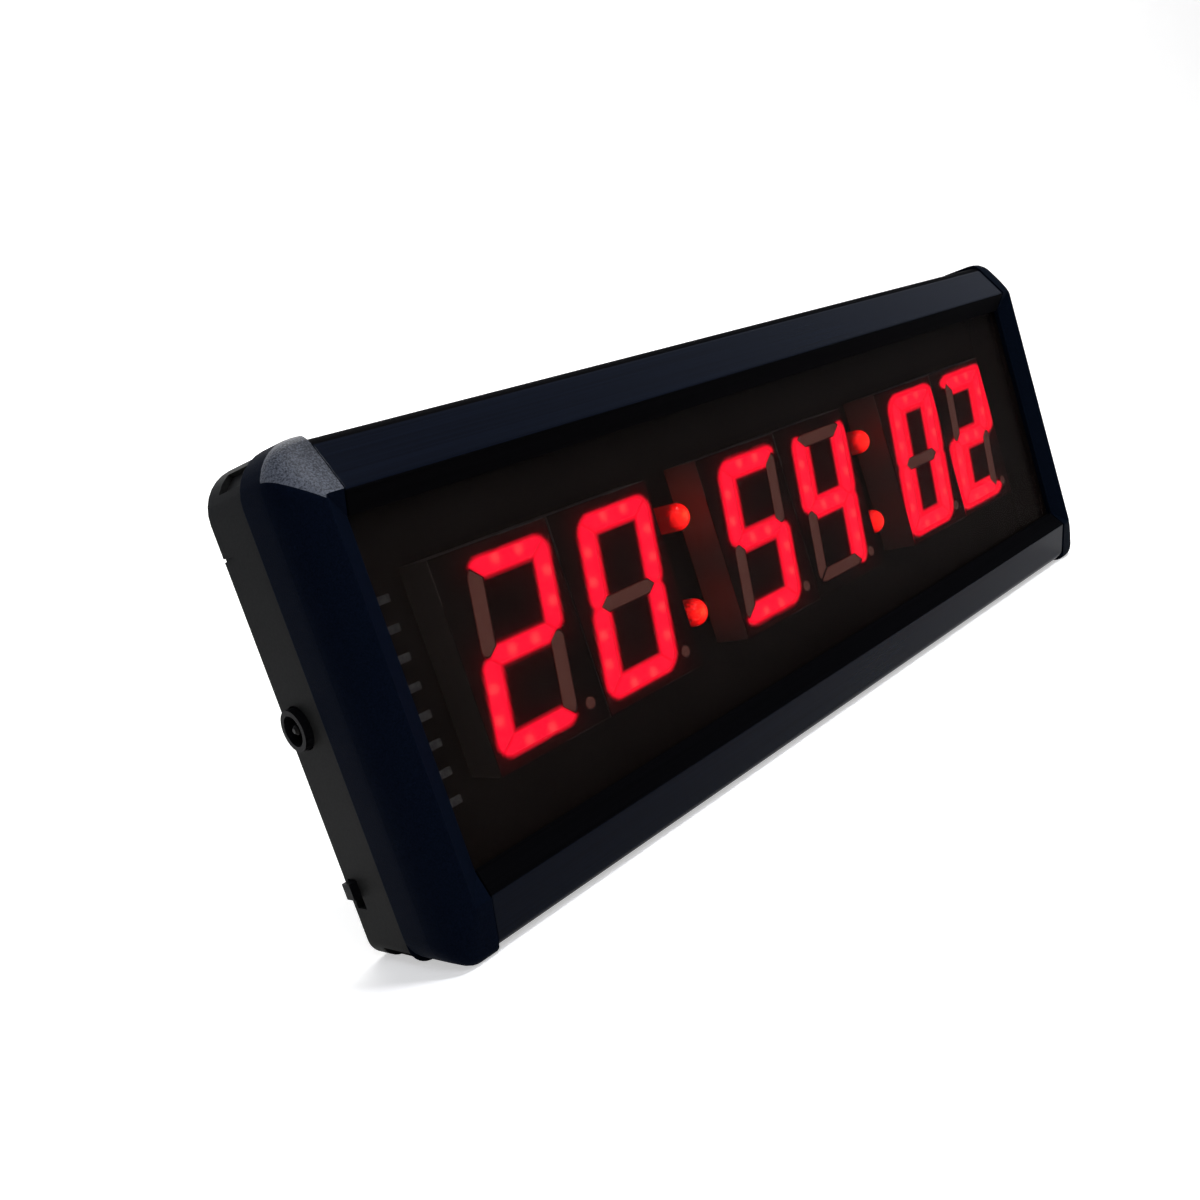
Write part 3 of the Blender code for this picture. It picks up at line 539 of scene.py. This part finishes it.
def segment_bars(number, letters, name, surface, grow, replaced=()):
    """The poured epoxy bars of some of a digit's segments, each with a broken front edge."""
    origin = digit_origin(number) + Vector((0, BAR_SET_BACK, 0))
    outlines = segment_outlines(grow)
    shape = bmesh.new()
    layer = shape.loops.layers.uv.new("UVMap")
    for letter in letters:
        before = set(shape.verts)
        verts = [shape.verts.new(point) for point in in_front(outlines[letter], origin)]
        draw_back(shape, [shape.faces.new(verts)], MODULE_DEPTH - BAR_SET_BACK - MODULE_BACK)
        own = [vert for vert in shape.verts if vert not in before]
        middle = sum((vert.co for vert in own), Vector()) / len(own)
        # Unwrapped in millimetres along and across the segment from its middle
        leaning = Vector((math.tan(SLANT), 0, 1)).normalized()
        along = leaning if letter in UPRIGHTS else Vector((1, 0, 0))
        across = Vector((along.z, 0, -along.x))
        for face in {face for vert in own for face in vert.link_faces}:
            for loop in face.loops:
                away = loop.vert.co - middle
                loop[layer].uv = (away.dot(along) / MM, away.dot(across) / MM)
    bmesh.ops.recalc_face_normals(shape, faces=shape.faces)
    front = [
        edge for edge in shape.edges
        if all(abs(vert.co.y - origin.y) < FLUSH for vert in edge.verts)
    ]
    bmesh.ops.bevel(
        shape, geom=front, offset=BAR_BREAK, affect="EDGES", segments=1, profile=0.5, material=-1,
    )
    item = finish_piece(shape, name, [surface], "case", replaced)
    smooth(item, 30)
    return item


def bar_distance(place, bar, squeeze):
    """Distance from a place in the face to the outline of a bar, less of it counted along X."""
    away = []
    for start, end in zip(bar, bar[1:] + bar[:1]):
        _, share = geometry.intersect_point_line(place, start, end)
        nearest = start.lerp(end, min(max(share, 0), 1))
        away.append(math.hypot((place.x - nearest.x) * squeeze, place.z - nearest.z))
    return min(away)


def spill_at(place, bars, core, squeeze):
    """Strength of the painted red glow on the printed face at a place, from its distances to the
    lit bars.
    """
    away = [bar_distance(place, bar, squeeze) / MM for bar in bars]
    fall = min(max(min(away) - core, 0) / (GLOW_REACH - 0.4 * core), 1)
    halo = GLOW * (1 - fall * fall * (3 - 2 * fall)) ** GLOW_FALL
    return halo + VEIL * sum(math.exp(-distance / VEIL_REACH) for distance in away)


def housing_body(origin, low, high):
    """A digit's housing as a bmesh: openings for the segments, and a broken rim to its face."""
    shape = bmesh.new()
    rim = [(low[0], low[2]), (high[0], low[2]), (high[0], high[2]), (low[0], high[2])]
    loops = [[Vector((x, origin.y, z)) for x, z in rim]]
    loops += [in_front(outline, origin) for outline in segment_outlines(OPENING_FIT).values()]
    edges = []
    for loop in loops:
        verts = [shape.verts.new(point) for point in loop]
        edges += [shape.edges.new((verts[index - 1], verts[index])) for index in range(len(verts))]
    bmesh.ops.triangle_fill(
        shape, use_beauty=True, use_dissolve=False, edges=edges, normal=(0, -1, 0),
    )
    draw_back(shape, list(shape.faces), MODULE_DEPTH)
    bmesh.ops.recalc_face_normals(shape, faces=shape.faces)
    # Bare plastic shows as a thin line where the face's rim is broken
    sides = ((0, low[0]), (0, high[0]), (2, low[2]), (2, high[2]))
    rim = [
        edge for edge in shape.edges
        if all(abs(vert.co.y - origin.y) < MERGE for vert in edge.verts) and any(
            all(abs(vert.co[axis] - at) < MERGE for vert in edge.verts) for axis, at in sides
        )
    ]
    bmesh.ops.bevel(
        shape, geom=rim, offset=RIM_BREAK, affect="EDGES", segments=1, profile=0.5, material=-1,
    )
    return shape


def in_face(face, origin):
    """Whether a face of a housing lies in its printed front."""
    return face.calc_center_median().y < origin.y + FLUSH


def cut_finely(shape, origin, low, high):
    """Cut a housing's front into a grid, fine enough to hold the glow."""
    for axis in (0, 2):
        span = high[axis] - low[axis]
        cuts = int(span / GLOW_PITCH)
        normal = Vector((1, 0, 0)) if axis == 0 else Vector((0, 0, 1))
        for cut in range(1, cuts + 1):
            front = [face for face in shape.faces if in_face(face, origin)]
            edges = list({edge for face in front for edge in face.edges})
            verts = list({vert for face in front for vert in face.verts})
            bmesh.ops.bisect_plane(
                shape, geom=front + edges + verts, dist=MERGE,
                plane_co=Vector(low) + normal * (span * cut / (cuts + 1)), plane_no=normal,
            )


def housing_with_spill(number, lit, printed, bare):
    """A digit's housing, with the glow of its lit segments on its printed front."""
    origin = digit_origin(number)
    low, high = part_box(f"digit_module_{number + 1}")
    shape = housing_body(origin, low, high)
    cut_finely(shape, origin, low, high)
    layer = shape.verts.layers.float.new("spill")
    outlines = segment_outlines(0.0)
    bars = [in_front(outlines[letter], origin) for letter in lit]
    for vert in shape.verts:
        if vert.co.y < origin.y + FLUSH:
            vert[layer] = spill_at(vert.co, bars, CORE_STEP * number, 1 - SQUEEZE_STEP * number)
    for face in shape.faces:
        face.material_index = 0 if in_face(face, origin) else 1
    name = f"module_housing_{number + 1}"
    nodes = [f"digit_module_{number + 1}"]
    return finish_piece(shape, name, [printed, bare], "case", nodes)


def colon_lens(node, surface):
    """A domed lamp as wide as its flange and glow; reach grows away from its tip."""
    low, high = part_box(node)
    axis = Vector(((low[0] + high[0]) / 2, 0, (low[2] + high[2]) / 2))
    radius = (high[0] - low[0]) / 2 + LAMP_FLANGE
    line = [(0, low[1])]
    for step in range(1, 9):
        turn = math.radians(90 * step / 8)
        line.append((radius * math.sin(turn), low[1] + radius * (1 - math.cos(turn))))
    line += [(radius, high[1]), (0, high[1])]
    shape = bmesh.new()
    verts = [shape.verts.new(axis + Vector((out, deep, 0))) for out, deep in line]
    edges = [shape.edges.new(pair) for pair in zip(verts, verts[1:])]
    bmesh.ops.spin(
        shape, geom=verts + edges, cent=axis, axis=(0, 1, 0), angle=2 * math.pi, steps=32,
        use_merge=True,
    )
    bmesh.ops.remove_doubles(shape, verts=shape.verts, dist=MERGE)
    bmesh.ops.recalc_face_normals(shape, faces=shape.faces)
    layer = shape.verts.layers.float.new("reach")
    for vert in shape.verts:
        side = Vector((vert.co.x - axis.x, 0, vert.co.z - axis.z)).length
        vert[layer] = 0.45 * side / radius + 1.1 * (vert.co.y - low[1]) / (high[1] - low[1])
    item = finish_piece(shape, node + "_lens", [surface], "case", [node])
    smooth(item, 40)
    return item


def seen_directly(tree):
    """1 for the rays that show the background: to the camera, in gloss and through glass."""
    path = add(tree, "LightPath").outputs
    seen = path["Is Camera Ray"]
    for ray in ("Is Glossy Ray", "Is Transmission Ray"):
        seen = add(tree, "Math", {0: seen, 1: path[ray]}, operation="MAXIMUM").outputs[0]
    return seen


def stage_sweep():
    """Plain pale paper: a floor that turns up into a backdrop behind the timer."""
    made, tree, shader = start_material(
        "pale_matt_paper", Roughness=0.9, Base_Color=linear("#f6f5f3"), Specular_IOR_Level=0.1,
        Emission_Color=linear("#ffffff"),
    )
    add(
        tree, "Math", {0: seen_directly(tree), 1: 0.5}, operation="MULTIPLY",
        into=shader.inputs["Emission Strength"],
    )
    profile = [(PAPER_FRONT, 0), (PAPER_BACK, 0)]
    for step in range(1, 13):
        turn = math.radians(90 * step / 12)
        out = PAPER_BACK + PAPER_BEND * math.sin(turn)
        profile.append((out, PAPER_BEND * (1 - math.cos(turn))))
    profile.append((PAPER_BACK + PAPER_BEND, PAPER_TOP))
    side = Vector((VIEW_WAY.y, -VIEW_WAY.x, 0)) * PAPER_WIDTH
    shape = bmesh.new()
    verts = [
        shape.verts.new(VIEW_WAY * out + Vector((0, 0, up)) - side / 2) for out, up in profile
    ]
    edges = [shape.edges.new(pair) for pair in zip(verts, verts[1:])]
    shift(shape, bmesh.ops.extrude_edge_only(shape, edges=edges)["geom"], side)
    bmesh.ops.recalc_face_normals(shape, faces=shape.faces)
    mesh = bpy.data.meshes.new("paper_sweep")
    shape.to_mesh(mesh)
    shape.free()
    mesh.shade_smooth()
    mesh.materials.append(made)
    item = link_object("paper_sweep", mesh)


def softbox(name, place, target, size, power, colour):
    """A square area lamp, in metres and watts, turned to a target."""
    lamp = bpy.data.lights.new(name, "AREA")
    lamp.shape = "SQUARE"
    lamp.size = size
    lamp.energy = power
    lamp.color = linear(colour)[:3]
    item = link_object(name, lamp)
    item.location = place
    item.rotation_euler = (Vector(target) - Vector(place)).to_track_quat("-Z", "Y").to_euler()


def light_the_stage():
    """A pale surround that lights little, a small key overhead, a fill, and the paper's lamp."""
    world = bpy.data.worlds.new("studio")
    world.use_nodes = True
    tree = world.node_tree
    shade = tree.nodes["Background"]
    shade.inputs["Color"].default_value = linear("#e6ecfa")
    limits = {"To Min": 0.1, "To Max": 0.95}
    add(tree, "MapRange", {"Value": seen_directly(tree), **limits}, into=shade.inputs["Strength"])
    bpy.context.scene.world = world
    middle = (0, 0, 0.05)
    softbox("overhead_key", (0.11, -0.42, 0.915), middle, 0.14, 5.0, "#f6f8ff")
    softbox("front_fill", (-0.35, -0.75, 0.75), middle, 0.4, 2.5, "#f2f5ff")
    softbox("backdrop_softbox", (0.5, 0.8, 1.4), (1.0, 1.2, 0.2), 1.0, 22.0, "#ffffff")


def place_camera():
    """The photograph's view: 57 degrees wide, from the front left."""
    right = Vector((0.68638018, -0.65777182, -0.31019105))
    down = Vector((-0.32522289, 0.10387586, -0.93991482))
    ahead = Vector((0.65047085, 0.74602013, -0.14262412))
    turn = Matrix((right, -down, -ahead)).transposed().to_4x4()
    data = bpy.data.cameras.new("photo_camera")
    data.sensor_width = 36
    data.lens = data.sensor_width * FOCAL_LENGTH / PICTURE_SIDE
    data.shift_x = 0.5 - PICTURE_CENTRE[0] / PICTURE_SIDE
    data.shift_y = PICTURE_CENTRE[1] / PICTURE_SIDE - 0.5
    data.clip_start = 0.01
    item = link_object("photo_camera", data)
    item.matrix_world = Matrix.Translation(CAMERA_PLACE) @ turn
    bpy.context.scene.camera = item


def repaint(surface, *nodes):
    """Give CAD nodes that keep their shape a procedural finish."""
    for node in nodes:
        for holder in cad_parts[node].material_slots:
            holder.material = surface


def dress_case():
    """Rails, end caps and window."""
    rail_finishes = [
        anodised_aluminium("satin", 0.028, 0.2, "#080c16", "#0b111d"),
        # A darker, less glossy copy of the same anodising, which paints shade where rail_finish
        # puts it
        anodised_aluminium("dull", 0.003, 0.6, "#050506", "#08080a"),
    ]
    cap_finishes = [
        # The navy in the front half's black paints a blue sheen; its grain and gloss are its own
        textured_abs("pitted", 0.008, 0.6, "#040912", "#080e1b", 0.6),
        # Pale tips painted over a glossier grain: a painted highlight on the left cap's top corner
        textured_abs("painted_highlight", 0.17, 0.42, "#0e121b", "#5c6069", 1.0),
        matt_abs(),
    ]
    softened(
        "case_extrusion", "case_rails", RAIL_BREAK, rail_finishes,
        rail_finish,
    )
    for side in ("left", "right"):
        node = f"{side}_end_cap"
        softened(node, f"{side}_cap_moulding", CAP_BREAK, cap_finishes, cap_finish)
    repaint(smoked_acrylic(), "window_pane")


def dress_display():
    """Digits with their lit and unlit bars, and the colon lamps."""
    printed, lit, unlit = printed_polystyrene(), lit_epoxy(), unlit_epoxy()
    plain = moulded_housing_side("unlit")
    reddened = {}
    for number, word, strength in REDDENED:
        lamps = [f"colon_lamp_{word}_{level}" for level in ("upper", "lower")]
        reddened[number] = moulded_housing_side(f"beside_{word}_lamps", lamps, strength)
    for number, letters in enumerate(SHOWN):
        housing_with_spill(number, letters, printed, reddened.get(number, plain))
        dark = [letter for letter in LETTERS if letter not in letters]
        node = f"digit_light_{number + 1}"
        segment_bars(number, letters, f"lit_segments_{number + 1}", lit, 0.0, [node])
        segment_bars(number, dark, f"unlit_segments_{number + 1}", unlit, UNLIT_FIT)
    for word, tip in (("left", "#ff4a2c"), ("right", "#ff1c16")):
        lens = lit_lamp_lens(word, tip)
        for level in ("upper", "lower"):
            colon_lens(f"colon_lamp_{word}_{level}", lens)


def dress_electronics():
    """Board, its parts, inlet and switch."""
    package = moulded_epoxy_package()
    repaint(solder_mask_board(), "display_board")
    repaint(ceramic_chip(), *[f"segment_resistor_{number}" for number in range(1, 9)])
    repaint(package, "controller_chip", "digit_driver_left", "digit_driver_right")
    repaint(package, "voltage_regulator")
    dull_nickel = nickel_plate("dull", "#57544f", "#6c6964")
    repaint(dull_nickel, "timing_crystal", "filter_capacitor", "power_switch_body")
    # The pin is painted near black for the shade deep in the inlet's hole
    repaint(nickel_plate("painted_shade", "#0e0d0c", "#161514"), "dc_jack_pin")
    repaint(moulded_pbt(), "infrared_receiver", "buzzer", "power_switch_knob", "dc_jack")


def build():
    """Camera, stage and every piece."""
    scene = bpy.context.scene
    scene.view_settings.view_transform = "Standard"
    place_camera()
    stage_sweep()
    light_the_stage()
    dress_case()
    dress_display()
    dress_electronics()


build()
